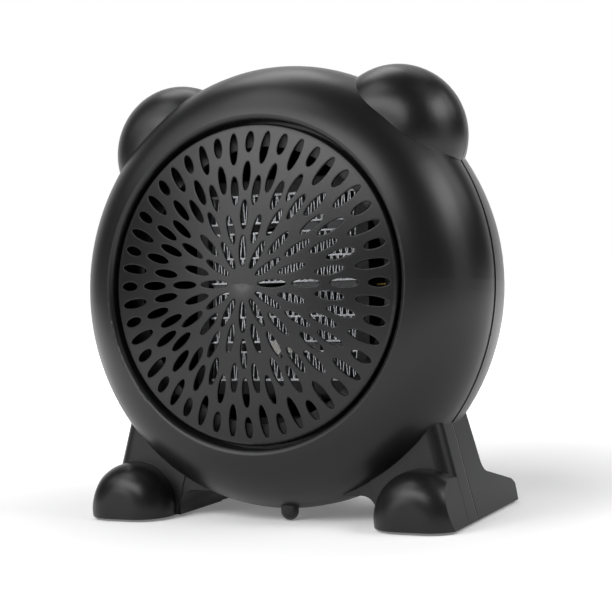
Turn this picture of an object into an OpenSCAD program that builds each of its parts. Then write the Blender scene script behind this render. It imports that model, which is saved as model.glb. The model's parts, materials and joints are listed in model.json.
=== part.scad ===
// Table-top ceramic fan heater with two round ears and two paw-shaped feet.
//
// The body is two moulded bowls that meet at a seam parallel to the grille.
// It leans back a little on its feet. Behind the domed grille sit a finned
// ceramic heating block, a round air duct, a fan wheel and its motor. A mode
// knob and the cord inlet are on the back, and a tip-over plunger touches the
// floor below the body.
//
// Two frames are used. Floor frame: the heater stands on z = 0, the grille
// faces -Y. Body frame (module leaned): X right, Y inward from the crown of
// the grille along the fan axis, Z up along the grille.

/* [Stance] */
// How far the body leans back on its feet, degrees
lean = 4.6; // [3:0.2:6]
// Height of the grille crown above the floor
crown_height = 106.5; // [106:0.25:108]

/* [Housing] */
// Radius of the opening that the grille fills
lip_radius = 72; // [71.5:0.25:72.5]
// Radius of the rounded ring round the opening, in section
ring_radius = 34.1; // [33.8:0.1:34.4]
// Radius of the circle that the ring section is turned about
ring_centre = 65.7; // [65.5:0.1:66]
// Depth of the ring centre behind the grille crown
ring_depth = 38.8; // [38.5:0.1:39]
// Depth of the seam between the two shells
seam_depth = 43.5; // [43:0.5:44]
// Depth of the flat back
back_depth = 106; // [105.5:0.5:107]
// Wall thickness of the moulded shells
wall = 2.6; // [2.2:0.2:3]

/* [Ears and feet] */
// Radius of each ear disc
ear_radius = 31.8; // [31.4:0.2:32.4]
// Rounding of the front edge of the ears
ear_rounding = 21.4; // [20.2:0.4:22.6]
// Angle by which the outside of each leg flares outward, degrees
leg_flare = 15.2; // [14.4:0.4:16.4]
// Radius of the rounded top of the paw
paw_radius = 20.8; // [20.4:0.2:21.2]
// Rounding of the front of the paw
paw_rounding = 14; // [13:0.5:15]

/* [Grille] */
// Height of the grille dome over its rim
dome_height = 8.1; // [7:0.1:9]
// Thickness of the grille sheet
sheet = 1.2; // [1:0.1:1.6]
// Gap between the grille rim and the housing lip
rim_gap = 1.6; // [1:0.1:2]
// Width of the slots in the outer rings
slot_width = 4; // [3.4:0.1:4.2]

/* [Heating block] */
// Width of the finned block
block_width = 76; // [74:1:78]
// Depth of the block along the air flow
block_depth = 14; // [12:1:15]
// Pitch of one full fold of the fin strip
fold_pitch = 3.04; // [3.04, 3.8]

/* [Fan] */
// Number of blades on the fan wheel
blades = 7; // [5:1:9]
// Tip radius of the fan wheel
fan_radius = 41; // [39:0.5:42]

/* [Hidden] */
$fn = 96;

black = [0.07, 0.07, 0.075];
dark = [0.13, 0.13, 0.14];
steel = [0.62, 0.63, 0.65];
alu = [0.8, 0.81, 0.83];
brass = [0.75, 0.6, 0.3];

// rear bowl: an arc turned about the fan axis that meets the ring at the seam
rear_radius = 79;
rear_centre = ring_centre + ring_radius - rear_radius + 0.1;
rear_arc_depth = 39.7;

// ears: discs with wide round edges, above the fan axis on each side
ear_x = 55.6;
ear_up = 64.4;
ear_front = 19.2;
ear_back = 66;
ear_back_rounding = 24.4;

// legs: the front face, the rear face and where the flared side passes
leg_front = 27;
leg_x = 79.4;
leg_up = -62.5;
leg_width = 37.4;
leg_rounding = 6.5;
leg_inner_x = 49.6;  // inner wall of the foot, joined to the body by a fillet
web_radius = 6.8;
web_up = 5.6;
paw_x = 72.3;
paw_up = 4.3;        // height of the centre of the rounded top
paw_front = 1.5;
pad_x = 71;
pad_y = 21.5;
lip_round = 2.5;     // rounding of the edge of the opening
lip_depth = 8.3;
floor_gap = 1;       // the shells stop this far above the floor, on pads
sole = 2.4;          // thickness of the closed underside of the feet

// grille: part of a sphere
rim_radius = lip_radius - rim_gap;
dome_radius = (rim_radius * rim_radius + dome_height * dome_height) / (2 * dome_height);

// knob and plunger
knob_up = 52;
knob_radius = 9.5;
knob_back = back_depth + 12;
plunger_x = 5.5;     // in the floor frame, before the shift to the middle
plunger_y = 23;
grille_turn = 0.87;  // the slot pattern sits turned in the housing, degrees

// the model is centred front to back between the ring and the knob
front_y = ring_depth * cos(lean) - ring_centre * sin(lean) - ring_radius;
back_y = knob_back * cos(lean) + (knob_up + knob_radius - 1) * sin(lean);
shift_y = -(front_y + back_y) / 2;

// stack along the fan axis
frame_front = 35;
block_front = 37;
frame_back = block_front + block_depth;
duct_back = 84;
strap_back = duct_back + 1.5;
stator_front = strap_back + 3;
stator_back = stator_front + 10.5;
shaft_radius = 2;
duct_radius = 43.5;
post_spot = 35;
boss_spots = [[86, 0], [-86, 0], [ear_x, ear_up], [-ear_x, ear_up], [62, -62], [-62, -62]];

// ---- frames and small helpers ----

module stood() translate([0, shift_y, 0]) children();
module leaned() stood() translate([0, 0, crown_height]) rotate([-lean, 0, 0]) children();
// turns a section drawn as [radius, depth] about the fan axis
module turned() rotate([-90, 0, 0]) rotate_extrude() children();
// puts a part that is drawn about +Z on the fan axis, at x, z and depth
module along(x = 0, up = 0, depth = 0)
  translate([x, depth, up]) rotate([-90, 0, 0]) children();
module both_sides() { children(); mirror([1, 0, 0]) children(); }
module rod(r, from, to, x = 0, up = 0) along(x, up, from) cylinder(r = r, h = to - from);
module box(x0, x1, y0, y1, z0, z1) translate([x0, y0, z0]) cube([x1 - x0, y1 - y0, z1 - z0]);
// pan head screw along the fan axis, head at the deep end
module screw(x, up, head, tip, r = 1.45, head_r = 2.8, head_h = 2) {
  rod(r, tip, head + 0.5, x, up);
  rod(head_r, head, head + head_h, x, up);
}

// ---- outer and inner volumes of the housing, in the body frame ----
// inset 0 gives the outside, inset wall the inside

module front_bowl(inset) turned() {
  intersection() {
    translate([ring_centre, ring_depth]) circle(ring_radius - inset);
    square([120, seam_depth + inset]);
  }
  translate([0, 20 + inset]) square([ring_centre + 4, seam_depth - 20]);
}

module rear_bowl(inset) turned() intersection() {
  translate([rear_centre, rear_arc_depth]) circle(rear_radius - inset);
  translate([0, seam_depth - inset]) square([120, back_depth - seam_depth]);
}

// a disc with rounded rims, turned about its own axis
module ear(inset) {
  r = ear_radius - inset;
  e = ear_rounding - inset;
  g = ear_back_rounding - inset;
  a = ear_front + inset;
  b = ear_back - inset;
  along(ear_x, ear_up) rotate_extrude() {
    translate([0, a]) square([r - e, e + 1]);
    intersection() { translate([r - e, a + e]) circle(e); square([r, b]); }
    if (b - g > a + e) translate([0, a + e]) square([r, b - g - a - e]);
    translate([0, b - g - 1]) square([r - g, g + 1]);
    intersection() { translate([r - g, b - g]) circle(g); square([r, b]); }
  }
}

// plan of a leg seen along its flared outer side, which is at x = 0
module leg_plan(inset, back) {
  a = leg_front + inset;
  e = leg_rounding - inset;
  translate([inset - leg_width, a]) square([leg_width - 2 * inset - e, back - a - inset]);
  translate([inset - leg_width, a + e]) square([leg_width - 2 * inset, back - a - e - inset]);
  translate([-inset - e, a + e]) circle(e);
}

module leg_column(inset, back) translate([leg_x, 0, leg_up]) rotate([0, -leg_flare, 0])
  translate([0, 0, -64]) linear_extrude(84) leg_plan(inset, back);

// side view of a foot in the floor frame: leg above, low toe with a round end
// behind, and a fillet between the two
toe_end = 92.2;
toe_radius = 9;
toe_slope = 15.6;
module foot_side(inset) {
  low = inset > 0 ? floor_gap + sole : floor_gap;
  r = toe_radius - inset;
  y = toe_end - toe_radius;
  z = 2.6;
  translate([-120, 0, 0]) {
    difference() {
      rotate([90, 0, 90]) linear_extrude(240)
        polygon([[-20, low], [-20, 120], [56.9 - inset, 120], [56.9 - inset, 23.43 - inset],
                 [60.92 - inset, 18.13 - inset],
                 [y + (r - 0.03) * sin(toe_slope), z + (r - 0.03) * cos(toe_slope)], [y, low]]);
      if (inset == 0) translate([-1, 62.4, 23.43]) rotate([0, 90, 0]) cylinder(r = 5.52, h = 242);
    }
    difference() {
      translate([0, y, z]) rotate([0, 90, 0]) cylinder(r = r, h = 240);
      translate([-1, 60, low - 20]) cube([242, 60, 20]);
    }
  }
}

// plan of the toe, with rounded corners at the end
module toe_plan(inset) {
  y = toe_end - 9.01;
  translate([20, -60, -1]) cube([90, y + 60, 140]);
  translate([56, y - 1, -1]) cube([25.5, 9.99 - inset, 140]);
  for (x = [56, 81.5]) translate([x, y, -1]) cylinder(r = 8.99 - inset, h = 140);
}

// the floor frame seen from inside leaned()
module on_floor() rotate([lean, 0, 0]) translate([0, 0, -crown_height]) children();

module leg(inset) intersection() {
  leg_column(inset, 110);
  on_floor() foot_side(inset);
  on_floor() toe_plan(inset);
}

// the paw is a loaf with a round top and a rounded front, cut flush with the
// outer side of the leg
module paw(inset) intersection() {
  on_floor() intersection() {
    translate([paw_x, 0, paw_up]) rotate([-90, 0, 0]) rotate_extrude() {
      r = paw_radius - inset;
      e = paw_rounding - inset;
      a = paw_front + inset;
      translate([0, a]) square([r - e, 36 - a]);
      translate([0, a + e]) square([r, 36 - a - e]);
      intersection() { translate([r - e, a + e]) circle(e); square([r, 36]); }
    }
    box(30, 110, -10, 60, inset > 0 ? floor_gap + sole : floor_gap, 60);
  }
  translate([leg_x, 0, leg_up]) rotate([0, -leg_flare, 0]) box(-90, -inset - 0.04, -20, 110, -80, 30);
}

// solid fillet between the underside of the body and the inner wall of the foot
module web() intersection() {
  on_floor() rotate([90, 0, 0]) translate([0, 0, -56]) linear_extrude(50) difference() {
    union() {
      translate([30, web_up + web_radius]) square([25, 20]);
      translate([leg_inner_x - web_radius, floor_gap]) square([12, 30]);
    }
    translate([leg_inner_x - web_radius, web_up]) circle(web_radius);
    translate([leg_inner_x - web_radius - 1, floor_gap - 1]) square([web_radius + 1, web_up - floor_gap + 1]);
  }
  box(20, 100, leg_front + 0.6, 120, -140, 0);
}

module feet(inset) both_sides() { leg(inset); paw(inset); if (inset == 0) web(); }
module front_half() box(-120, 120, -30, seam_depth, -140, 120);
module rear_half() box(-120, 120, seam_depth, 140, -140, 120);

module housing_inside() {
  front_bowl(wall);
  rear_bowl(wall);
  both_sides() ear(wall);
  feet(wall);
}

// four screw spots on the rim of the grille, between slots
module grille_spots() rotate([0, grille_turn, 0]) for (a = [48.75:90:360])
  translate([66.9 * cos(a), 0, 66.9 * sin(a)]) children();
module boss_rods(r, from, to) for (s = boss_spots) rod(r, from, to, s[0], s[1]);

// ---- housing ----

module front_shell() color(black) leaned() difference() {
  union() {
    difference() {
      union() {
        front_bowl(0);
        intersection() { front_half(); union() { both_sides() ear(0); feet(0); } }
      }
      housing_inside();
      rod(lip_radius, -20, 30);
    }
    // collar behind the lip, and the ledge that the grille skirt rests on
    turned() {
      translate([lip_radius, 6.4]) square([2.4, 11.4]);
      translate([61, 15.6]) square([12, 2.2]);
    }
    // screw bosses
    intersection() {
      boss_rods(4.2, 12, seam_depth);
      union() { front_bowl(0.6); both_sides() ear(0.6); }
    }
    // guide tube and two ribs for the tip-over switch
    intersection() {
      on_floor() {
        translate([plunger_x, plunger_y, 1]) cylinder(r = 6.2, h = 15);
        for (x = [-10.4, 7.6]) translate([plunger_x, plunger_y]) box(x, x + 2.8, -4, 4.5, 1, 33);
      }
      front_bowl(0.3);
    }
  }
  // rounded lip of the opening
  turned() difference() {
    translate([0, -20]) square([lip_radius + lip_round, 20 + lip_depth]);
    translate([lip_radius + lip_round, lip_depth]) circle(lip_round);
  }
  boss_rods(1.5, 28, 60);
  grille_spots() rod(1.3, 10, 20);
  on_floor() {
    translate([plunger_x, plunger_y, -5]) cylinder(r = 4.05, h = 40);
    front_pads(7.1, -1, floor_gap + 1);
  }
}

module rear_shell() color(black) leaned() difference() {
  union() {
    difference() {
      union() {
        rear_bowl(0);
        intersection() { rear_half(); union() { both_sides() ear(0); feet(0); } }
      }
      difference() {
        housing_inside();
        rod(90, back_depth - wall, back_depth + 10);
      }
    }
    intersection() { boss_rods(5, seam_depth, 100); rear_bowl(0.6); }
    // posts that carry the duct
    for (x = [-post_spot, post_spot], u = [-post_spot, post_spot])
      rod(4, duct_back, back_depth - 1, x, u);
  }
  boss_rods(1.6, 40, 80);
  boss_rods(3.4, 60, 115);
  for (x = [-post_spot, post_spot], u = [-post_spot, post_spot]) rod(1.5, 70, 98, x, u);
  intake();
  rod(3.15, 90, 115, 0, knob_up);
  rod(5.5, 90, 115, 0, -knob_up);
  on_floor() rear_pads(6.1, -1, floor_gap + 1);
}

// rings of slots in the back, between eight spokes
module intake() difference() {
  turned() for (r = [15:5.6:40]) translate([r, back_depth - 10]) square([3.2, 20]);
  for (a = [0:45:135]) rotate([0, a + 22.5, 0]) box(-50, 50, 80, 120, -1.6, 1.6);
}

module front_pads(r, low, high) both_sides() translate([pad_x, pad_y, low]) cylinder(r = r, h = high - low);
module rear_pads(r, low, high) both_sides() translate([70, 74, low]) cylinder(r = r, h = high - low);

module foot_pads() color(dark) stood() {
  front_pads(7, 0, floor_gap + 1);
  rear_pads(6, 0, floor_gap + 1);
}

module housing_screws() color(steel) leaned()
  for (s = boss_spots) screw(s[0], s[1], 60, 32);

// ---- grille ----

// ring radius, slot length, slot count, first angle, width against slot_width
slot_rings = [[14.37, 13.7, 12, 0, 0.85], [24.4, 13, 12, 15, 0.85], [30.2, 13, 12, 0, 0.88],
              [41, 13, 24, 7.5, 0.92], [47.2, 13, 24, 0, 0.95], [62.3, 9.4, 24, 0, 1],
              [59.8, 14.4, 24, 7.5, 1]];

module dome_shell(from, to) intersection() {
  translate([0, dome_radius, 0]) rotate([90, 0, 0]) difference() {
    sphere(dome_radius - from);
    sphere(dome_radius - to);
  }
  rod(rim_radius - 1.6, -5, 20);
}

module front_grille() color([0.1, 0.1, 0.105]) leaned() {
  difference() {
    union() {
      dome_shell(0, sheet);
      // rolled rim and skirt
      turned() {
        translate([rim_radius - 1.6, 9.3]) square([1.6, 6.3]);
        intersection() {
          translate([rim_radius - 1.6, 9.3]) circle(1.6);
          translate([rim_radius - 1.6, 7]) square([1.6, 3]);
        }
      }
      grille_spots() rod(2.2, 8, 15.6);
    }
    for (ring = slot_rings, i = [0:ring[2] - 1])
      rotate([0, grille_turn + ring[3] + i * 360 / ring[2], 0]) along(ring[0], 0, -5)
        linear_extrude(30) scale([ring[1] / 2, slot_width * ring[4] / 2]) circle(1);
    grille_spots() rod(1.3, 11, 20);
  }
}

module grille_screws() color(steel) leaned()
  grille_spots() screw(0, 0, 17.8, 12, 1.25, 2.4, 1.6);

// ---- heating block ----

plate_rows = [29.4, 24.8, 2.3, -2.3, -24.8, -29.4];
stone_rows = [27.1, 0, -27.1];
fin_rows = [[29.8, 41.5], [13.9, 24.4], [2.7, 13.1], [-13.1, -2.7], [-24.4, -13.9], [-41.5, -29.8]];

module heater_frame() color(dark) leaned() difference() {
  union() {
    box(-block_width / 2 - 6, block_width / 2 + 6, frame_front, frame_back, -48.5, 48.5);
    for (x = [-48, 48], u = [-40, 40]) {
      rod(5, frame_back - 4, frame_back, x, u);
      box(min(x, sign(x) * 42), max(x, sign(x) * 42), frame_back - 4, frame_back, u - 5, u + 5);
    }
  }
  box(-block_width / 2, block_width / 2, 0, 90, -42.5, 42.5);
  for (u = stone_rows) box(30, 60, frame_back - 8, frame_back - 2, u - 0.6, u + 0.6);
  for (x = [-48, 48], u = [-40, 40]) rod(1.6, 30, 60, x, u);
}

// one strip folded up and down between two plates, a closed zigzag outline
fold_count = floor(block_width / fold_pitch);
foil = 0.22;
function fold_x(i) = -block_width / 2 + i * fold_pitch / 2;
module fin_strip(low, high) {
  upper = [for (i = [0:2 * fold_count]) each
    i % 2 == 0 ? [[fold_x(i) - 0.28 + foil, low + foil], [fold_x(i) + 0.28 - foil, low + foil]]
               : [[fold_x(i) - 0.28 - foil, high], [fold_x(i) + 0.28 + foil, high]]];
  lower = [for (i = [2 * fold_count:-1:0]) each
    i % 2 == 0 ? [[fold_x(i) + 0.28 + foil, low], [fold_x(i) - 0.28 - foil, low]]
               : [[fold_x(i) + 0.28 - foil, high - foil], [fold_x(i) - 0.28 + foil, high - foil]]];
  intersection() {
    polygon(concat(upper, lower));
    translate([-block_width / 2, low - 1]) square([block_width, high - low + 2]);
  }
}

module heater_fins() color(alu) leaned()
  for (row = fin_rows) translate([0, frame_back - 1, 0]) rotate([90, 0, 0])
    linear_extrude(block_depth - 2) fin_strip(row[0], row[1]);

module ptc_plates() color(alu) leaned() {
  for (u = plate_rows) box(-block_width / 2, block_width / 2, block_front, frame_back - 0.5, u - 0.4, u + 0.4);
  for (u = [13.5, -13.5]) box(-block_width / 2, block_width / 2, block_front, frame_back - 0.5, u - 0.4, u + 0.4);
}

module ptc_stones() color([0.45, 0.46, 0.47]) leaned()
  for (u = stone_rows, x = [-37, 3, 22.5])
    box(x, x + 15, block_front + 0.8, frame_back - 1, u - 1.9, u + 1.9);

module heater_clamps() color(alu) leaned()
  for (s = [-1, 1]) box(-block_width / 2, block_width / 2, block_front - 0.6, frame_back,
                        min(s * 41.5, s * 42.5), max(s * 41.5, s * 42.5));

module heater_terminals() color(brass) leaned()
  for (u = stone_rows) box(37.5, 56, frame_back - 7.6, frame_back - 2.4, u - 0.4, u + 0.4);

module heater_screws() color(steel) leaned()
  for (x = [-48, 48], u = [-40, 40]) {
    rod(1.5, frame_back - 4.5, frame_back + 3, x, u);
    rod(2.8, frame_back - 6, frame_back - 4, x, u);
  }

// snap-action cut-out in a white ceramic body, clipped to the front of the block
module thermal_cutout() leaned() {
  color([0.9, 0.9, 0.87]) rod(3.2, block_front - 4.5, block_front - 1, -2, -28);
  color(alu) box(-9, 5, block_front - 1, block_front, -29.8, -26.2);
}

// ---- fan and motor ----

module air_duct() color(dark) leaned() difference() {
  union() {
    box(-54, 54, frame_back, frame_back + 4, -51, 51);
    rod(duct_radius + 2, frame_back, duct_back);
    for (x = [-post_spot, post_spot], u = [-post_spot, post_spot]) rod(5, duct_back - 4, duct_back, x, u);
    for (x = [-47, 47]) rod(4, duct_back - 10, duct_back, x);
  }
  box(-38, 38, 30, frame_back + 3, -38, 38);
  rod(duct_radius, frame_back + 2, 100);
  for (x = [-48, 48], u = [-40, 40]) rod(1.55, 40, 60, x, u);
  for (x = [-post_spot, post_spot], u = [-post_spot, post_spot]) rod(1.6, 70, 100, x, u);
  for (x = [-47, 47]) rod(1.5, duct_back - 9, 100, x);
}

module duct_screws() color(steel) leaned()
  for (x = [-post_spot, post_spot], u = [-post_spot, post_spot]) {
    rod(1.45, duct_back - 4.5, 96, x, u);
    rod(2.7, duct_back - 6, duct_back - 4, x, u);
  }

// cambered blade: a patch of a thin tube whose axis runs out along the blade
blade_camber = 22;
module blade() intersection() {
  difference() { rod(fan_radius, 61, 79); rod(12, 60, 80); }
  translate([0, 70, 0]) rotate([0, 0, 40]) translate([0, blade_camber - 1.5, 0]) difference() {
    cylinder(r = blade_camber, h = 50);
    translate([0, 0, -1]) cylinder(r = blade_camber - 1.5, h = 52);
    box(-60, 60, 0, 60, -2, 60);
    box(11.5, 60, -60, 60, -2, 60);
    box(-60, -11.5, -60, 60, -2, 60);
  }
}

module fan_wheel() color(dark) leaned() difference() {
  union() {
    rod(13, 61, 79);
    for (i = [0:blades - 1]) rotate([0, i * 360 / blades, 0]) blade();
  }
  rod(11.4, 66, 90);
  rod(shaft_radius, 50, 90);
}

module wheel_clip() color(steel) leaned() difference() { rod(4.5, 60.2, 61); rod(shaft_radius, 50, 90); }
module motor_shaft() color(steel) leaned() rod(shaft_radius, 58, stator_back + 2.4);

module motor_rotor() color([0.5, 0.51, 0.53]) leaned()
  difference() { rod(11.4, stator_front + 0.4, stator_back - 0.4); rod(shaft_radius, 50, 120); }

module motor_strap() color(steel) leaned() difference() {
  box(-51, 51, duct_back, strap_back, -9, 9);
  rod(5, 80, 90);
  for (x = [-47, 47]) rod(1.6, 80, 90, x);
  for (x = [-17, 17]) rod(1.6, 80, 90, x);
}

module strap_screws() color(steel) leaned()
  for (x = [-47, 47]) screw(x, 0, strap_back, duct_back - 7, 1.45, 2.7, 1.8);

module motor_brackets() color([0.7, 0.7, 0.7]) leaned()
  for (d = [strap_back, stator_back]) difference() {
    union() { box(-21, 21, d, d + 3, -6, 6); rod(8.5, d, d + 3); }
    rod(4, 80, 110);
    for (x = [-17, 17]) rod(1.55, 80, 110, x);
  }

module motor_bushes() color(brass) leaned()
  for (d = [strap_back - 1, stator_back]) difference() {
    rod(4, d, d + (d < 90 ? 4 : 3));
    rod(shaft_radius + 0.03, 80, 110);
  }

module motor_stator() color([0.4, 0.41, 0.43]) leaned() difference() {
  box(-22, 22, stator_front, stator_back, -36, 18);
  rod(12, 80, 110);
  box(-13, 13, 80, 110, -30, -16);
  for (x = [-17, 17]) rod(1.55, 80, 110, x);
}

module motor_bobbin() color([0.9, 0.88, 0.8]) leaned() difference() {
  union() {
    for (x = [-13, 11.4]) box(x, x + 1.6, stator_front - 3, stator_back + 3, -39, -17);
    box(-13, 13, stator_front - 1, stator_back + 1, -37, -29);
  }
  box(-20, 20, stator_front, stator_back, -36, -30);
}

module motor_coil() color([0.72, 0.35, 0.16]) leaned() difference() {
  box(-11.4, 11.4, stator_front - 2.6, stator_back + 2.6, -38.6, -18);
  box(-20, 20, stator_front - 1, stator_back + 1, -37, -29);
}

module motor_screws() color(steel) leaned()
  for (x = [-17, 17]) {
    rod(1.5, duct_back - 0.5, stator_back + 3, x);
    rod(2.7, duct_back - 2, duct_back, x);
  }

// ---- tip-over switch, upright in the floor frame ----

module tip_plunger() color(black) stood() translate([plunger_x, plunger_y, 0]) rotate_extrude() {
  intersection() { translate([0, 4]) circle(4); square([4, 4]); }
  translate([0, 4]) square([4, 17]);
  translate([0, 20]) square([5.6, 1.6]);
  translate([0, 21.6]) square([1.6, 11]);
}

// open coil spring between the collar of the plunger and the switch
spring_turns = 5;
spring_steps = 14;
function spring_ring(t) = let (a = 360 * t, r = 3.9, z = 22.05 + 10.5 * t / spring_turns)
  [for (k = [0:5]) let (b = 60 * k)
    [(r + 0.42 * cos(b)) * cos(a), (r + 0.42 * cos(b)) * sin(a), z + 0.42 * sin(b)]];
module tip_spring() color(steel) stood() translate([plunger_x, plunger_y, 0]) {
  n = spring_turns * spring_steps;
  points = [for (i = [0:n]) each spring_ring(i / spring_steps)];
  faces = concat([[5, 4, 3, 2, 1, 0]], [[for (k = [0:5]) n * 6 + k]],
    [for (i = [0:n - 1], k = [0:5])
      [i * 6 + k, i * 6 + (k + 1) % 6, (i + 1) * 6 + (k + 1) % 6, (i + 1) * 6 + k]]);
  polyhedron(points, faces);
}

module tip_switch() color(dark) stood() difference() {
  translate([plunger_x, plunger_y]) box(-11, 11, -4, 4.5, 33, 46);
  translate([plunger_x, plunger_y, 30]) cylinder(r = 1.8, h = 6);
}

// ---- controls and inlet at the back ----

module mode_switch() color(dark) leaned() difference() {
  box(-11, 11, back_depth - wall - 14, back_depth - wall, knob_up - 8, knob_up + 8);
  rod(3.05, back_depth - 12, back_depth + 2, 0, knob_up);
}

module mode_spindle() color(steel) leaned() rod(3, back_depth - 11.5, back_depth + 9, 0, knob_up);

module mode_knob() color(dark) leaned() along(0, knob_up) difference() {
  rotate_extrude() {
    translate([0, back_depth + 0.5]) square([knob_radius, 4]);
    translate([0, back_depth + 4]) square([knob_radius - 1, 8]);
  }
  for (s = [-1, 1]) translate([s * 8.5 - 4, -12, back_depth + 5.5]) cube([8, 24, 10]);
  translate([0, 0, back_depth - 5]) cylinder(r = 3, h = 14);
}

module cord_gland() color(dark) leaned() along(0, -knob_up) difference() {
  rotate_extrude() {
    translate([0, back_depth - wall - 2]) square([7, 2]);
    translate([0, back_depth - wall - 0.2]) square([5.45, 3]);
    translate([0, back_depth]) square([7, 3]);
  }
  translate([0, 0, 90]) cylinder(r = 3.1, h = 40);
}

module terminal_block() color([0.85, 0.84, 0.78]) leaned() difference() {
  box(12, 34, back_depth - wall - 10, back_depth - wall, -50, -42);
  for (x = [16, 23, 30]) rod(1.8, 90, back_depth - wall - 3, x, -46);
}

front_shell();
rear_shell();
front_grille();
grille_screws();
heater_frame();
heater_fins();
ptc_plates();
ptc_stones();
heater_clamps();
heater_terminals();
heater_screws();
thermal_cutout();
air_duct();
duct_screws();
fan_wheel();
wheel_clip();
motor_shaft();
motor_rotor();
motor_strap();
strap_screws();
motor_brackets();
motor_bushes();
motor_stator();
motor_coil();
motor_bobbin();
motor_screws();
tip_plunger();
tip_spring();
tip_switch();
mode_switch();
mode_spindle();
mode_knob();
cord_gland();
terminal_block();
housing_screws();
foot_pads();
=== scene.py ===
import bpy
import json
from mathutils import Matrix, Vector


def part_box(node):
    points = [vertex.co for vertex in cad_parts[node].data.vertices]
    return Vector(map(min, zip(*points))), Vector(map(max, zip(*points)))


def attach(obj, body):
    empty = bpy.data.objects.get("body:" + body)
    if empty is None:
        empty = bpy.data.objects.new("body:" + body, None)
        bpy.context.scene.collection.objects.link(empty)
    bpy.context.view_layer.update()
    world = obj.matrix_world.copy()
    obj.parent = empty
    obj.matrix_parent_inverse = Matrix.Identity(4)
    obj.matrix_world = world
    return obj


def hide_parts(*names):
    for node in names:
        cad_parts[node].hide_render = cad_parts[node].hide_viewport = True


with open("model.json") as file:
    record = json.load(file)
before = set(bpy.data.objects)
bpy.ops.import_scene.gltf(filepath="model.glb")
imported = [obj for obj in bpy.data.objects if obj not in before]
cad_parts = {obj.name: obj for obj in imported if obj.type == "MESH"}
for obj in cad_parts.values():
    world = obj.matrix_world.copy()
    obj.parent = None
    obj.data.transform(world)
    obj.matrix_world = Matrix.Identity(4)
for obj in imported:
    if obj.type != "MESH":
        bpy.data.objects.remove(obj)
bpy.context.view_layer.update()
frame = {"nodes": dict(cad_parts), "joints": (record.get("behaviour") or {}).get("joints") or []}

import json
import math

import bmesh
import bpy
from mathutils import Matrix, Vector

cad = frame["nodes"]
MM = 0.001      # the scene is in metres


# ---------------------------------------------------------------- housing
# Two moulded bowls that carry the ring, the ears, the legs and the paws.
# They are injection moulded in black ABS with a fine spark-eroded texture,
# and six screws from behind pull them together at the seam.

def linear(code):
    """An sRGB hex colour as linear RGBA."""
    parts = [int(code[i:i + 2], 16) / 255 for i in (0, 2, 4)]
    parts = [p / 12.92 if p <= 0.04045 else ((p + 0.055) / 1.055) ** 2.4 for p in parts]
    return (*parts, 1.0)


def add(tree, kind, links=(), inputs=(), **settings):
    """Adds a node. settings are its properties, inputs its values, links the outputs it takes."""
    node = tree.nodes.new(kind)
    for name, value in settings.items():
        setattr(node, name, value)
    for name, value in dict(inputs).items():
        node.inputs[name].default_value = value
    for name, output in dict(links).items():
        tree.links.new(output, node.inputs[name])
    return node


def blank(name):
    """An empty material, its tree, and its object coordinates, which are metres in the model."""
    material = bpy.data.materials.new(name)
    material.use_nodes = True
    tree = material.node_tree
    tree.nodes.clear()
    return material, tree, add(tree, "ShaderNodeTexCoord").outputs["Object"]


def noise(tree, spot, size, detail, more=()):
    """A cloudy pattern, with blotches of about this size in metres."""
    inputs = {"Scale": 1 / size, "Detail": detail, **dict(more)}
    return add(tree, "ShaderNodeTexNoise", {"Vector": spot}, inputs).outputs["Fac"]


def between(tree, value, low, high, start=0.3, stop=0.7):
    """Spreads a pattern, which mostly runs from start to stop, over a range."""
    ends = {"From Min": start, "From Max": stop, "To Min": low, "To Max": high}
    return add(tree, "ShaderNodeMapRange", {"Value": value}, ends).outputs["Result"]


def tinted(tree, value, dark, light, start=0.3, stop=0.7):
    """A colour that a pattern leads from one code to another."""
    return add(tree, "ShaderNodeMix", {0: between(tree, value, 0.0, 1.0, start, stop)},
               {6: linear(dark), 7: linear(light)}, data_type="RGBA").outputs[2]


def bumped(tree, height, strength, depth, normal=None):
    """The normal of a surface that a pattern raises, on top of another normal if there is one."""
    links = {"Height": height}
    if normal is not None:
        links["Normal"] = normal
    node = add(tree, "ShaderNodeBump", links, {"Strength": strength, "Distance": depth})
    return node.outputs["Normal"]


def close(tree, shader):
    """Ends a tree with its output."""
    add(tree, "ShaderNodeOutputMaterial", {"Surface": shader.outputs[0]})


def shade(tree, colour, roughness, normal, inputs=()):
    """Ends a tree with the Principled shader. The colour is a code, or the output that makes it."""
    links, inputs = {"Roughness": roughness}, dict(inputs)
    if normal is not None:
        links["Normal"] = normal
    if isinstance(colour, str):
        inputs["Base Color"] = linear(colour)
    else:
        links["Base Color"] = colour
    close(tree, add(tree, "ShaderNodeBsdfPrincipled", links, inputs))


def coat_node(material, *names):
    """Gives CAD nodes this material."""
    for name in names:
        piece = cad[name]
        if not piece.material_slots:
            piece.data.materials.append(material)
        for place in piece.material_slots:
            place.material = material


spin = next(joint for joint in frame["joints"] if joint["name"] == "fan_spin")
AXIS = Vector(spin["axis"]).normalized()     # along the fan, from front to back
SIDE = Vector((1, 0, 0))
RISE = SIDE.cross(AXIS)                      # up, square to the fan's axis
SEAM = min(point.co.dot(AXIS) for point in cad["rear_shell"].data.vertices)

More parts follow.
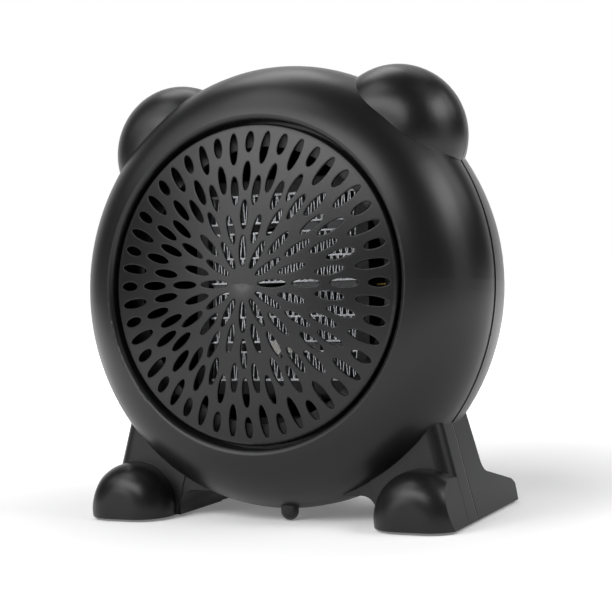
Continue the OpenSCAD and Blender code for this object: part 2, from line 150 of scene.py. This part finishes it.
# Spark-eroded black ABS: the texture breaks reflections into a soft sheen,
# so edges glow and the flat faces stay near black. The grain of the tool is
# about 0.25 mm; it is drawn at 0.5 mm so that it shows. The shells' edges are
# eased along the seam into a thin groove bumped into the surface; its near
# black colour there is painted shade in the groove.
abs_black, tree, spot = blank("spark_eroded_black_abs")
grain = noise(tree, spot, 0.5 * MM, 3.0, {"Roughness": 0.6})
cloud = noise(tree, spot, 1 / 22, 2.0)
edge = add(tree, "ShaderNodeBevel", (), {"Radius": 0.4 * MM}, samples=4)
depth = add(tree, "ShaderNodeVectorMath", {0: spot}, {1: AXIS}, operation="DOT_PRODUCT")
past = add(tree, "ShaderNodeMath", {0: depth.outputs["Value"]}, {1: SEAM}, operation="SUBTRACT")
away = add(tree, "ShaderNodeMath", {0: past.outputs[0]}, operation="ABSOLUTE")
# This mask dips the seam's groove and also marks where the painted shade goes.
seam_dip_and_shade = between(tree, away.outputs[0], 0.0, 1.0, 0.1 * MM, 0.5 * MM)
groove = bumped(tree, seam_dip_and_shade, 1.0, 0.5 * MM, edge.outputs[0])
bump = bumped(tree, grain, 0.1, 0.1 * MM, groove)
tint = tinted(tree, cloud, "131314", "171718")
# At the seam the colour is mixed to near black 040404: painted shade in the groove between the
# shells.
seam_painted_shade = add(tree, "ShaderNodeMix", {0: seam_dip_and_shade, 7: tint}, {6: linear("040404")}, data_type="RGBA")
shade(tree, seam_painted_shade.outputs[2], between(tree, cloud, 0.31, 0.35), bump,
      {"IOR": 1.53, "Specular IOR Level": 0.33})
coat_node(abs_black, "front_shell", "rear_shell")


# ---------------------------------------------------------------- grille
# A dome pressed from steel sheet, with its slots punched and its skirt rolled,
# then powder coated black. Four screws hold it on the ledge inside the lip.

# Powder coat: a smoother skin than the moulding, with a slight orange peel of
# about 1.2 mm, so broad reflections run over it with soft ends. The paint is
# round over the punched edges, which catch a thin line of light.
powder, tree, spot = blank("black_powder_coat_on_steel")
peel = noise(tree, spot, 1.2 * MM, 2.0)
edge = add(tree, "ShaderNodeBevel", (), {"Radius": 0.8 * MM}, samples=6)
bump = bumped(tree, peel, 0.05, 0.1 * MM, edge.outputs[0])
shade(tree, "0D0D0E", between(tree, peel, 0.30, 0.34), bump,
      {"IOR": 1.5, "Specular IOR Level": 0.38})
coat_node(powder, "front_grille")


# ---------------------------------------------------------------- heating block
# Folded aluminium strip glued between thin aluminium plates, with rows of
# ceramic stones between the plates, held in a frame of dark resin.

# Rolled aluminium: dulled a little by heat, with rolling lines along the strip.
rolled, tree, spot = blank("rolled_aluminium_strip")
drawn = add(tree, "ShaderNodeMapping", {"Vector": spot}, {"Scale": (1.0, 0.08, 1.0)})
lines = noise(tree, drawn.outputs[0], 0.4 * MM, 2.0)
bump = bumped(tree, lines, 0.08, 0.05 * MM)
shade(tree, "C6C8CB", between(tree, lines, 0.29, 0.44), bump, {"Metallic": 1.0})
coat_node(rolled, "heater_fins", "ptc_plates", "heater_clamps")

# Fired barium titanate: a fine dry grain of grey, matt all over.
ceramic, tree, spot = blank("fired_barium_titanate")
grit = noise(tree, spot, 0.6 * MM, 4.0)
bump = bumped(tree, grit, 0.3, 0.1 * MM)
shade(tree, tinted(tree, grit, "626264", "7A7A7C"), between(tree, grit, 0.62, 0.8), bump)
coat_node(ceramic, "ptc_stones")

# White steatite: an unglazed ceramic, chalky with a faint warm tone.
steatite, tree, spot = blank("white_steatite_ceramic")
grit = noise(tree, spot, 0.8 * MM, 3.0)
bump = bumped(tree, grit, 0.15, 0.1 * MM)
shade(tree, "EFEDE6", between(tree, grit, 0.45, 0.6), bump)
coat_node(steatite, "thermal_cutout")

# Stamped brass: warm, slightly dulled, with fine scratches from the tool.
brass, tree, spot = blank("stamped_brass")
scuff = noise(tree, spot, 0.9 * MM, 5.0)
bump = bumped(tree, scuff, 0.08, 0.05 * MM)
shade(tree, "DDBB70", between(tree, scuff, 0.28, 0.48), bump, {"Metallic": 1.0})
coat_node(brass, "heater_terminals")


# ---------------------------------------------------------------- duct, fan and switches
# The round duct, the frame of the block, the fan wheel and the switch bodies
# are mouldings in glass-filled resin, seen through slots only. The plunger,
# which shows under the body, is acetal.

# Glass-filled resin: matt, with faint pale flow streaks about 6 mm long.
resin, tree, spot = blank("glass_filled_dark_resin")
flow = noise(tree, spot, 6 * MM, 6.0, {"Distortion": 0.8})
grit = noise(tree, spot, 0.4 * MM, 2.0)
bump = bumped(tree, grit, 0.15, 0.1 * MM)
tint = tinted(tree, flow, "1A1A1C", "262628", 0.4, 0.75)
shade(tree, tint, between(tree, flow, 0.5, 0.66), bump)
coat_node(resin, "heater_frame", "air_duct", "fan_wheel", "tip_switch", "mode_switch")

# Acetal: the slippery black plastic of a plunger, smoother than its guide.
acetal, tree, spot = blank("black_acetal")
swirl = noise(tree, spot, 3 * MM, 3.0)
bump = bumped(tree, swirl, 0.05, 0.1 * MM)
shade(tree, "121213", between(tree, swirl, 0.26, 0.34), bump, {"IOR": 1.48})
coat_node(acetal, "tip_plunger")

# Spring steel: bare bright wire with drawing marks that break up its shine.
sprung, tree, spot = blank("drawn_spring_steel")
marks = noise(tree, spot, 0.3 * MM, 2.0)
shade(tree, "A9A9A6", between(tree, marks, 0.2, 0.36), None, {"Metallic": 1.0})
coat_node(sprung, "tip_spring", "wheel_clip", "motor_shaft")


# ---------------------------------------------------------------- motor
# A small shaded-pole motor: a stack of punched steel sheets, a coil on a nylon
# bobbin, two die-cast brackets with bronze bushes, and a strap that carries it.

TILT = math.atan2(-spin["axis"][2], spin["axis"][1])     # how far the motor leans with the body
BAND = 0.314                                             # pitch of a wave texture at scale 1


def bands(tree, spot, pitch, across, distortion=0.0):
    """Straight bands of this pitch in metres, across one axis of the leaning body."""
    level = add(tree, "ShaderNodeMapping", {"Vector": spot}, {"Rotation": (TILT, 0.0, 0.0)})
    return add(tree, "ShaderNodeTexWave", {"Vector": level.outputs[0]},
               {"Scale": BAND / pitch, "Distortion": distortion},
               wave_type="BANDS", bands_direction=across, wave_profile="SIN").outputs["Fac"]


# Laminated steel: sheets of 0.5 mm, so dark lines run round the stack.
stack, tree, spot = blank("stacked_lamination_steel")
layers = bands(tree, spot, 0.5 * MM, "Y")
stain = noise(tree, spot, 4 * MM, 5.0)
bump = bumped(tree, layers, 0.5, 0.1 * MM)
tint = tinted(tree, stain, "7A7A7B", "9C9994")
shade(tree, tint, between(tree, stain, 0.34, 0.52), bump, {"Metallic": 1.0})
coat_node(stack, "motor_stator", "motor_rotor")

# Enamelled copper: turns of 0.6 mm wire side by side under a clear red varnish.
copper, tree, spot = blank("enamelled_copper_winding")
turns = bands(tree, spot, 0.6 * MM, "X", 0.4)
bump = bumped(tree, turns, 0.8, 0.15 * MM)
shade(tree, "B8582E", between(tree, turns, 0.2, 0.34, 0.0, 1.0), bump,
      {"Metallic": 1.0, "Coat Weight": 0.6, "Coat Roughness": 0.1})
coat_node(copper, "motor_coil")

# Natural nylon: cream white, slightly translucent, with a soft gloss.
nylon, tree, spot = blank("natural_nylon")
cloud = noise(tree, spot, 5 * MM, 3.0)
bump = bumped(tree, cloud, 0.05, 0.2 * MM)
shade(tree, tinted(tree, cloud, "DCD5BF", "E8E3D2"), between(tree, cloud, 0.38, 0.5), bump,
      {"Subsurface Weight": 0.15, "Subsurface Scale": 2 * MM, "IOR": 1.53})
coat_node(nylon, "motor_bobbin", "terminal_block")

# Die-cast zinc alloy: grey and grainy, with flow marks from the die.
cast, tree, spot = blank("die_cast_zinc_alloy")
grit = noise(tree, spot, 1.2 * MM, 5.0)
bump = bumped(tree, grit, 0.2, 0.1 * MM)
shade(tree, "B9BABB", between(tree, grit, 0.4, 0.58), bump, {"Metallic": 1.0})
coat_node(cast, "motor_brackets")

# Sintered bronze: oil-soaked and porous, darker than solid bronze.
bronze, tree, spot = blank("sintered_bronze")
cells = add(tree, "ShaderNodeTexVoronoi", {"Vector": spot}, {"Scale": 1 / (0.3 * MM)})
pores = cells.outputs["Distance"]
bump = bumped(tree, pores, 0.3, 0.05 * MM)
shade(tree, "A8804F", between(tree, pores, 0.34, 0.5), bump, {"Metallic": 1.0})
coat_node(bronze, "motor_bushes")

# Zinc-plated steel: cool and bright with cloudy patches left by the bath.
zinc, tree, spot = blank("zinc_plated_steel")
cloud = noise(tree, spot, 3 * MM, 4.0)
bump = bumped(tree, cloud, 0.06, 0.1 * MM)
tint = tinted(tree, cloud, "B4B8BC", "CDD0D0")
shade(tree, tint, between(tree, cloud, 0.24, 0.4), bump, {"Metallic": 1.0})
coat_node(zinc, "motor_strap", "mode_spindle")


# ---------------------------------------------------------------- screws
# Pan head screws with a cross recess and a thread cut for plastic, cold headed
# from steel wire, rolled and zinc plated. They take their places from the CAD.

APART = 7 * MM        # points nearer than this belong to one screw
HEAD_FROM = 0.8       # share of the widest radius beyond which a point is on the head
HEAD_RINGS = 12       # rings from the centre of a head to its rim
THREAD_RINGS = 5      # rings in one turn of the thread
SHARP = math.radians(38)


def turned(bm, at, way, rows, count=24, bored=False):
    """Adds a body of rings round an axis. A row is (radius, depth), or a function of the angle that
    gives them. Rows of a bored body run round its wall and meet again, others are capped."""
    across = way.cross(SIDE).normalized()
    start = across.cross(way)
    loops = []
    for row in rows:
        loop = []
        for k in range(count):
            angle = 2 * math.pi * k / count
            radius, depth = row(angle) if callable(row) else row
            out = start * math.cos(angle) + across * math.sin(angle)
            loop.append(bm.verts.new(at + way * depth + out * radius))
        loops.append(loop)
    for low, high in zip(loops, loops[1:] + loops[:1] if bored else loops[1:]):
        for k in range(count):
            bm.faces.new((low[k], low[k - 1], high[k - 1], high[k]))
    if not bored:
        bm.faces.new(loops[0])
        bm.faces.new(loops[-1])


def finish(name, bm, material, body, replaced=None):
    """Makes a mesh a piece of the model: its normals, finish and body, and hides the CAD node it
    replaces.
    """
    bmesh.ops.recalc_face_normals(bm, faces=bm.faces)
    mesh = bpy.data.meshes.new(name)
    bm.to_mesh(mesh)
    bm.free()
    mesh.materials.append(material)
    mesh.shade_smooth()
    mesh.set_sharp_from_angle(angle=SHARP)
    piece = bpy.data.objects.new(name, mesh)
    bpy.context.collection.objects.link(piece)
    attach(piece, body)
    if replaced:
        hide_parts(replaced)


def screw_places(node):
    """Finds each screw: its axis, its head's radius and ends, its shank's radius and tip."""
    groups = []
    for vertex in cad[node].data.vertices:
        flat = Vector((vertex.co.x, vertex.co.dot(RISE)))
        for first, points in groups:
            if (first - flat).length < APART:
                points.append((flat, vertex.co.dot(AXIS)))
                break
        else:
            groups.append((flat, [(flat, vertex.co.dot(AXIS))]))
    for _, points in groups:
        ends = [[end(p[0][i] for p in points) for i in (0, 1)] for end in (min, max)]
        axis = (Vector(ends[0]) + Vector(ends[1])) / 2
        wide = max((p[0] - axis).length for p in points)
        head = [p[1] for p in points if (p[0] - axis).length > HEAD_FROM * wide]
        shank = [p for p in points if (p[0] - axis).length <= HEAD_FROM * wide]
        tip = max((p[1] for p in shank), key=lambda depth: abs(depth - head[0]))
        top, under = sorted((min(head), max(head)), key=lambda depth: -abs(depth - tip))
        yield axis, wide, top, under, max((p[0] - axis).length for p in shank), tip


def screw(bm, axis, wide, top, under, thin, tip):
    """Adds one screw, from its head's centre to its tip. Depths start at the top of its head."""
    way = AXIS if tip > top else -AXIS
    at = SIDE * axis.x + RISE * axis.y + AXIS * top
    high, long = abs(under - top), abs(tip - top)
    pitch = 0.78 * thin
    arm_wide, arm_long = 0.19 * wide, 0.6 * wide     # half an arm of the cross
    wall, ramp = 0.06 * wide, 0.2 * wide             # how its sides and ends slope
    cross_deep, crown = 0.6 * high, 0.16 * high

    def head(share):
        """A ring of the domed top, sunk where the cross runs over it."""
        def ring(angle):
            x, y = abs(wide * share * math.cos(angle)), abs(wide * share * math.sin(angle))
            inside = min(1.0, max(0.0, arm_wide - min(x, y)) / wall)
            along = min(1.0, max(0.0, arm_long - max(x, y)) / ramp)
            return wide * share, cross_deep * inside * along + crown * share ** 2
        return ring

    def thread(depth):
        """A ring of the shank, cut between the crests of the thread and tapered to the tip."""
        def ring(angle):
            turn = (depth / pitch - angle / (2 * math.pi)) % 1.0
            taper = min(1.0, (long - depth) / (2.0 * thin) + 0.25)
            cut = 0.24 * min(1.0, 3.2 * abs(turn - 0.5))
            return thin * taper * (1.0 - cut), depth
        return ring

    rows = [head(k / HEAD_RINGS) for k in range(1, HEAD_RINGS - 1)]
    rows += [(0.93 * wide, 0.3 * high), (wide, 0.6 * high), (0.99 * wide, 0.95 * high),
             (0.94 * wide, high), (0.8 * thin, high)]
    steps = int((long - high) / (pitch / THREAD_RINGS))
    rows += [thread(high + (long - high) * (k + 1) / steps) for k in range(steps)]
    turned(bm, at, way, rows)


for node in ("grille_screws", "heater_screws", "duct_screws",
             "strap_screws", "motor_screws", "housing_screws"):
    bm = bmesh.new()
    for place in screw_places(node):
        screw(bm, *place)
    finish(node + "_threaded", bm, zinc, "body", node)


# ---------------------------------------------------------------- mode knob and its dial
# A push-on knob with a fluted skirt and a grip bar, moulded in satin black ABS.
# It has four places, 45 degrees apart. The pointer on the bar and the marks
# round the knob are pad printed.

def reach(node, way):
    """How far a CAD node reaches along a direction: lowest and highest."""
    spans = [vertex.co.dot(way) for vertex in cad[node].data.vertices]
    return min(spans), max(spans)


# Satin ABS: finer than the housing, and a little polished by fingers.
satin, tree, spot = blank("satin_black_abs")
grain = noise(tree, spot, 0.4 * MM, 3.0)
worn = noise(tree, spot, 6 * MM, 2.0)
bump = bumped(tree, grain, 0.1, 0.1 * MM)
shade(tree, tinted(tree, worn, "161617", "1C1C1D"), between(tree, worn, 0.26, 0.38), bump,
      {"IOR": 1.53, "Specular IOR Level": 0.4})

# White ink: thin and matt, with small pinholes where the black shows through.
ink, tree, spot = blank("white_pad_print_ink")
holes = noise(tree, spot, 0.3 * MM, 3.0)
bump = bumped(tree, holes, 0.1, 0.05 * MM)
tint = tinted(tree, holes, "6C6C6A", "E6E6E2", 0.26, 0.4)
shade(tree, tint, between(tree, holes, 0.5, 0.66), bump)

knob = next(joint for joint in frame["joints"] if joint["name"] == "knob_turn")
centre = Vector(knob["pos_m"])
centre -= AXIS * centre.dot(AXIS)            # its axis, where the fan's depth is zero
low, knob_top = reach("mode_knob", AXIS)     # low is the edge of the skirt, next to the housing
high = low + 4 * MM                          # the flat top of the skirt
skirt = (reach("mode_knob", SIDE)[1] - reach("mode_knob", SIDE)[0]) / 2
back_at = reach("rear_shell", AXIS)[1]       # the flat back of the housing

# Half length, half width and level in mm: the foot above the skirt, the crown below the knob's top.
BAR_FOOT = ((8.2, 4.6, -0.5), (8.1, 4.2, 0.6), (8.0, 3.9, 1.4))
BAR_CROWN = ((7.8, 3.6, 1.6), (7.5, 3.4, 0.8), (7.0, 2.9, 0.3), (6.0, 2.0, 0.1))


def flute(radius, depth, notch, count=24):
    """A ring with a row of shallow hollows."""
    return lambda angle: (radius - notch * (0.5 + 0.5 * math.cos(count * angle)), depth)


def bar(half_long, half_wide, depth, squareness=5):
    """A ring round the grip bar: a rounded rectangle, long in the upward direction."""
    def ring(angle):
        wide, long = abs(math.cos(angle)) / half_wide, abs(math.sin(angle)) / half_long
        return (wide ** squareness + long ** squareness) ** (-1 / squareness), depth
    return ring


bm = bmesh.new()
turned(bm, centre, AXIS, [
    (0.4 * skirt, low), (skirt - 0.3 * MM, low),
    flute(skirt, low + 0.3 * MM, 0.4 * MM), flute(skirt, high - 0.6 * MM, 0.4 * MM),
    flute(skirt - 0.2 * MM, high - 0.2 * MM, 0.3 * MM),
    (skirt - 0.8 * MM, high), (skirt - 1.3 * MM, high), (skirt - 1.6 * MM, high - 0.3 * MM),
    (skirt - 2.2 * MM, high - 0.3 * MM), (0.3 * skirt, high - 0.1 * MM)], count=144)
rows = [bar(long * MM, wide * MM, high + up * MM) for long, wide, up in BAR_FOOT]
rows += [bar(long * MM, wide * MM, knob_top - down * MM) for long, wide, down in BAR_CROWN]
turned(bm, centre, AXIS, rows, count=64)
finish("mode_knob_grip", bm, satin, "knob", "mode_knob")

PLACES = (0, 45, 90, 135)            # degrees to the left of up, as the back is seen from behind
PRINT = (-0.02 * MM, 0.06 * MM)      # the ink, from just under the surface to just over it
RING = (0.8 * MM, 1.3 * MM)          # inner and outer radius of the ring
DOT = 0.55 * MM                      # radius of a dot
ROUND = 12                           # points in the round end of a stripe


def spot_at(radius, turn, depth):
    """A point round the knob, by degrees to the left of up as the back is seen from behind."""
    turn = math.radians(turn)
    return centre + AXIS * depth + (RISE * math.cos(turn) + SIDE * math.sin(turn)) * radius


def stripe(bm, begin, end, half_wide, depth, turn):
    """A thin raised stripe with round ends that runs away from the knob's axis."""
    rows = []
    way = spot_at(1.0, turn, 0) - spot_at(0.0, turn, 0)
    across = AXIS.cross(way)
    outline = []
    for middle, side in ((end, -1), (begin, 1)):
        for k in range(ROUND):
            angle = math.pi * k / (ROUND - 1) + side * math.pi / 2
            outline.append((middle + half_wide * math.cos(angle), half_wide * math.sin(angle)))
    for level in (depth, depth + PRINT[1] - PRINT[0]):
        at = centre + AXIS * level
        rows.append([bm.verts.new(at + way * a + across * b) for a, b in outline])
    for k in range(len(outline)):
        bm.faces.new((rows[0][k], rows[0][k - 1], rows[1][k - 1], rows[1][k]))
    bm.faces.new(rows[0])
    bm.faces.new(rows[1])


bm = bmesh.new()
stripe(bm, 2.8 * MM, 5.4 * MM, 0.45 * MM, knob_top - 0.16 * MM, 0)
finish("knob_pointer", bm, ink, "knob")

# Each place has a short stroke. Off is a ring; the others have one, two and three dots.
bm = bmesh.new()
for number, turn in enumerate(PLACES):
    stripe(bm, 10.6 * MM, 11.4 * MM, 0.28 * MM, back_at + PRINT[0], turn)
    if number == 0:
        turned(bm, spot_at(14.1 * MM, turn, back_at), AXIS, [
            (RING[0], PRINT[0]), (RING[0], PRINT[1]), (RING[1], PRINT[1]), (RING[1], PRINT[0])],
            count=32, bored=True)
    for dot in range(number):
        turned(bm, spot_at((13.2 + 1.7 * dot) * MM, turn, back_at), AXIS, [
            (DOT, PRINT[0]), (DOT, PRINT[1])], count=20)
finish("dial_marks", bm, ink, "body")


# ---------------------------------------------------------------- cord gland
# The collar that a supply cord would run through, moulded in the same black.
# It snaps into the back, and its rim is fluted so that fingers can turn it.

inlet = Vector(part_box("cord_gland")[0]) + Vector(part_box("cord_gland")[1])
inlet = SIDE * (inlet.x / 2) + RISE * (sum(reach("cord_gland", RISE)) / 2)
inner, outer = reach("cord_gland", AXIS)
rim = (reach("cord_gland", SIDE)[1] - reach("cord_gland", SIDE)[0]) / 2
BORE = 3.1 * MM       # radius of the hole for the cord
NECK = 5.45 * MM      # radius of the part inside the housing's wall
FLUTES = 16
bm = bmesh.new()
turned(bm, inlet, AXIS, [
    (BORE, inner), (rim - 0.3 * MM, inner), (rim, inner + 0.3 * MM), (rim, inner + 1.8 * MM),
    (NECK, inner + 2 * MM), (NECK, back_at - 0.1 * MM), (rim, back_at),
    flute(rim, back_at + 0.3 * MM, 0.5 * MM, FLUTES), flute(rim, outer - 1 * MM, 0.5 * MM, FLUTES),
    flute(rim - 0.3 * MM, outer - 0.4 * MM, 0.4 * MM, FLUTES), (rim - 0.9 * MM, outer),
    (4.3 * MM, outer), (3.7 * MM, outer - 0.3 * MM), (3.3 * MM, outer - 0.9 * MM),
    (BORE, outer - 2 * MM)],
    count=96, bored=True)
finish("cord_gland_collar", bm, satin, "body", "cord_gland")


# ---------------------------------------------------------------- foot pads
# Four round pads pressed from black rubber, glued into shallow seats under the
# paws and the toes, with rings below that grip the table.

# Moulded rubber: dull, with a dusty bloom that lightens it in patches.
rubber, tree, spot = blank("moulded_black_rubber")
dust = noise(tree, spot, 4 * MM, 5.0)
grit = noise(tree, spot, 0.3 * MM, 2.0)
bump = bumped(tree, grit, 0.25, 0.1 * MM)
tint = tinted(tree, dust, "1C1C1C", "3A3A39", 0.35, 0.8)
shade(tree, tint, between(tree, dust, 0.62, 0.82), bump)

PAD_APART = 20 * MM     # points nearer than this belong to one pad
LEVELS = 8              # steps from the centre to the rim, in turn up and down
STEP = 0.3 * MM         # height of a ring

pads = []
for vertex in cad["foot_pads"].data.vertices:
    for pad in pads:
        if (pad[0] - vertex.co).length < PAD_APART:
            pad.append(vertex.co)
            break
    else:
        pads.append([vertex.co])
bm = bmesh.new()
for pad in pads:
    low = Vector([min(point[i] for point in pad) for i in range(3)])
    high = Vector([max(point[i] for point in pad) for i in range(3)])
    size, thick = (high.x - low.x) / 2, high.z - low.z
    rows = [(0.4 * MM, STEP)]
    for ring in range(1, LEVELS):
        for side in (-0.25, 0.25):
            rows.append(((ring + side) / LEVELS * size, STEP * (ring % 2)))
    rows += [(size - 0.5 * MM, 0.0), (size, 0.4 * MM), (size, thick - 0.2 * MM),
             (size - 0.2 * MM, thick)]
    at = Vector(((low.x + high.x) / 2, (low.y + high.y) / 2, low.z))
    turned(bm, at, Vector((0, 0, 1)), rows, count=48)
finish("foot_pads_ringed", bm, rubber, "body", "foot_pads")


# ---------------------------------------------------------------- floor and light
# A pale sheet under the heater, a room that is white for the camera, and
# plain soft lamps round the heater.

VIEW = Vector((-0.465, 0.885, -0.04))   # the way the camera looks
WHITE = (1, 1, 1, 1)

# A pale sheet: matt, with a faint cloudiness, and white where it runs out of
# the lamps' reach, so that it has no edge. Shadows still fall on it.
sheet, tree, spot = blank("pale_studio_floor")
path = add(tree, "ShaderNodeLightPath")
seen = add(tree, "ShaderNodeMath",
           {0: path.outputs["Is Camera Ray"], 1: path.outputs["Is Glossy Ray"]}, operation="MAXIMUM")
through = add(tree, "ShaderNodeMath", {0: seen.outputs[0], 1: path.outputs["Is Transmission Ray"]},
              operation="MAXIMUM")
out = add(tree, "ShaderNodeVectorMath", {0: spot}, operation="LENGTH")
lift = between(tree, out.outputs["Value"], 0.17, 1.1, start=0.12, stop=0.6)     # metres out
glow = add(tree, "ShaderNodeMath", {0: through.outputs[0], 1: lift}, operation="MULTIPLY")
cloud = noise(tree, spot, 1 / 9, 2.0)
matt = add(tree, "ShaderNodeBsdfDiffuse", {"Color": tinted(tree, cloud, "F2F2F2", "F5F5F5")})
light = add(tree, "ShaderNodeEmission", {"Strength": glow.outputs[0]}, {"Color": WHITE})
close(tree, add(tree, "ShaderNodeAddShader", {0: matt.outputs[0], 1: light.outputs[0]}))

bpy.ops.mesh.primitive_plane_add(size=12, location=(0, 0, -0.2 * MM))
floor = bpy.context.object
floor.name = "studio_floor"
floor.data.materials.append(sheet)

# The room is dark but for a white wall behind the heater, which glossy and
# transmission rays see too. A camera sees white wherever it stands.
world = bpy.data.worlds.new("studio_room")
bpy.context.scene.world = world
world.use_nodes = True
tree = world.node_tree
tree.nodes.clear()
path = add(tree, "ShaderNodeLightPath")
way = add(tree, "ShaderNodeTexCoord").outputs["Generated"]
facing = add(tree, "ShaderNodeVectorMath", {0: way}, {1: VIEW}, operation="DOT_PRODUCT")
wall = between(tree, facing.outputs["Value"], 0.0, 1.0, start=0.55, stop=0.85)   # a cosine
mirrored = add(tree, "ShaderNodeMath",
               {0: path.outputs["Is Glossy Ray"], 1: path.outputs["Is Transmission Ray"]},
               operation="MAXIMUM")
behind = add(tree, "ShaderNodeMath", {0: mirrored.outputs[0], 1: wall}, operation="MULTIPLY")
white = add(tree, "ShaderNodeMath", {0: path.outputs["Is Camera Ray"], 1: behind.outputs[0]},
            operation="MAXIMUM")
dim = add(tree, "ShaderNodeBackground", (), {"Color": WHITE, "Strength": 0.02})
bright = add(tree, "ShaderNodeBackground", (), {"Color": WHITE, "Strength": 1.0})
pick = add(tree, "ShaderNodeMixShader",
           {0: white.outputs[0], 1: dim.outputs[0], 2: bright.outputs[0]})
add(tree, "ShaderNodeOutputWorld", {"Surface": pick.outputs[0]})

LAMP_AWAY = 1.1                  # metres from the middle of the heater
LAMP_SIZE = (0.5, 0.42)
MIDDLE = Vector((0, 0, 0.1))


def softbox(turn, height, power):
    """A soft rectangular lamp: degrees to the right of the heater's front, degrees up, watts."""
    data = bpy.data.lights.new("softbox", "AREA")
    data.shape = "RECTANGLE"
    data.size, data.size_y = LAMP_SIZE
    data.energy = power
    piece = bpy.data.objects.new(f"softbox_{turn}_{height}", data)
    bpy.context.collection.objects.link(piece)
    turn, height = math.radians(turn), math.radians(height)
    level = Vector((math.sin(turn), -math.cos(turn), 0))
    way = level * math.cos(height) + Vector((0, 0, math.sin(height)))
    piece.location = MIDDLE + way * LAMP_AWAY
    piece.rotation_euler = (-way).to_track_quat("-Z", "Y").to_euler()
    piece.visible_camera = False


softbox(-30, 35, 3.4)     # key, in front and above, on the grille
softbox(-30, 12, 2.0)     # the same side, low, through the slots
softbox(0, 35, 3.7)       # fill, straight in front and to the left
softbox(-60, 35, 0.9)
softbox(-45, 60, 1.8)
softbox(90, 35, 4.1)      # side lamps, for the band of light on the right of the ring
softbox(120, 35, 1.4)
softbox(90, 60, 0.3)
softbox(90, 12, 0.6)
softbox(225, 60, 2.2)     # rim lamps, high behind
softbox(180, 60, 0.8)


# ---------------------------------------------------------------- camera
# A long lens, at the height of the upper part of the grille and to its right,
# so that the front shows with one side.

EYE_AT = (0.337394, -0.644744, 0.122874)
EYE_RIGHT = Vector((0.885123, 0.462741, -0.049271))
EYE_UP = Vector((0.024872, 0.058685, 0.997967))
EYE_BACK = Vector((0.464692, -0.884549, 0.040434))
eye = bpy.data.cameras.new("studio_camera")
eye.lens = 91.886
eye.sensor_width = 36
eye.clip_start = 0.01
camera = bpy.data.objects.new("studio_camera", eye)
bpy.context.collection.objects.link(camera)
turned_to = Matrix((EYE_RIGHT, EYE_UP, EYE_BACK)).transposed().to_4x4()
camera.matrix_world = Matrix.Translation(EYE_AT) @ turned_to
bpy.context.scene.camera = camera

bpy.context.scene.view_settings.view_transform = "Standard"
